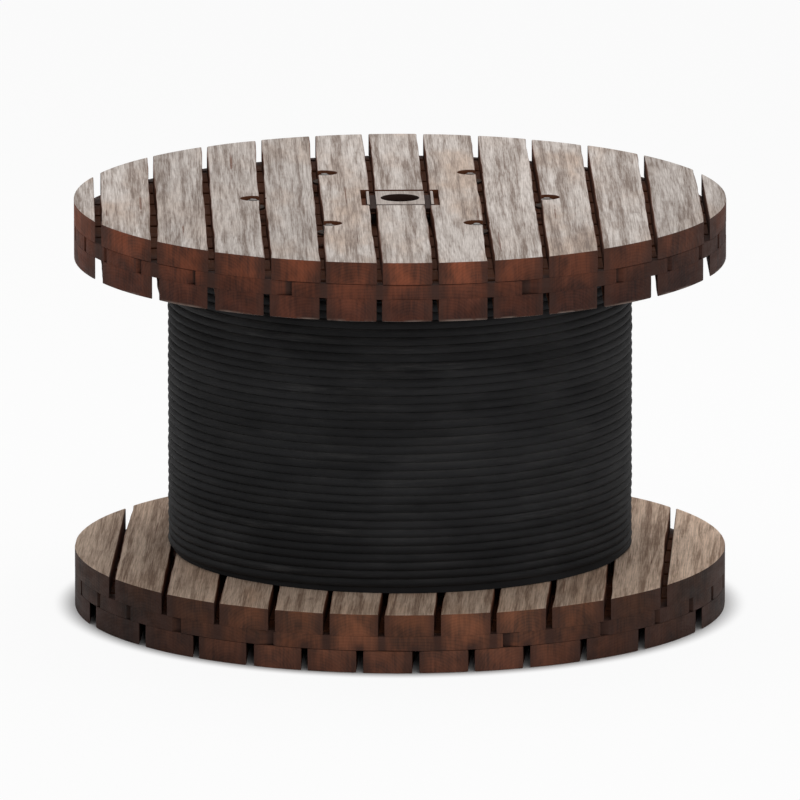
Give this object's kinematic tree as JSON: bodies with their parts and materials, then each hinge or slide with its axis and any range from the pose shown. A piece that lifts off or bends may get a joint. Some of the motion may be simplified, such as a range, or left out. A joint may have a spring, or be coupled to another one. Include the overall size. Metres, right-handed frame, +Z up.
{
  "type": "cable drum",
  "caption": "Wooden cable drum standing on end, wound with black cable: slatted round flanges clamped by tie rods to a barrel of staves, with a spindle bore right through.",
  "frame": {"origin": "on the drum's axis, in the plane of the lower flange's outer face, which it stands on", "axes": "+Z up along the spindle bore; +Y along the upper flange's outer boards; +X across them, through two of the tie rods"},
  "size_m": [1.4, 1.4, 0.89],
  "materials": {
    "flange_board": "sawn softwood, weathered greyish beige on its faces and dark at its ends",
    "centre_plate": "planed softwood, greyish beige",
    "barrel_stave": "sawn softwood",
    "tie_rod_steel": "plain steel, dulled",
    "cable_sheath": "black sheath, satin"
  },
  "bodies": {
    "root": {"barrel_staves": "barrel_stave", "cable_winding": "cable_sheath", "lower_centre_plate": "centre_plate", "lower_flange_cross_boards": "flange_board", "lower_flange_inner_boards": "flange_board", "lower_flange_outer_boards": "flange_board", "lower_nuts": "tie_rod_steel", "lower_washers": "tie_rod_steel", "tie_rod_1": "tie_rod_steel", "tie_rod_2": "tie_rod_steel", "tie_rod_3": "tie_rod_steel", "tie_rod_4": "tie_rod_steel", "tie_rod_5": "tie_rod_steel", "tie_rod_6": "tie_rod_steel", "upper_centre_plate": "centre_plate", "upper_flange_cross_boards": "flange_board", "upper_flange_inner_boards": "flange_board", "upper_flange_outer_boards": "flange_board", "upper_nuts": "tie_rod_steel", "upper_washers": "tie_rod_steel"}
  },
  "joints": []
}
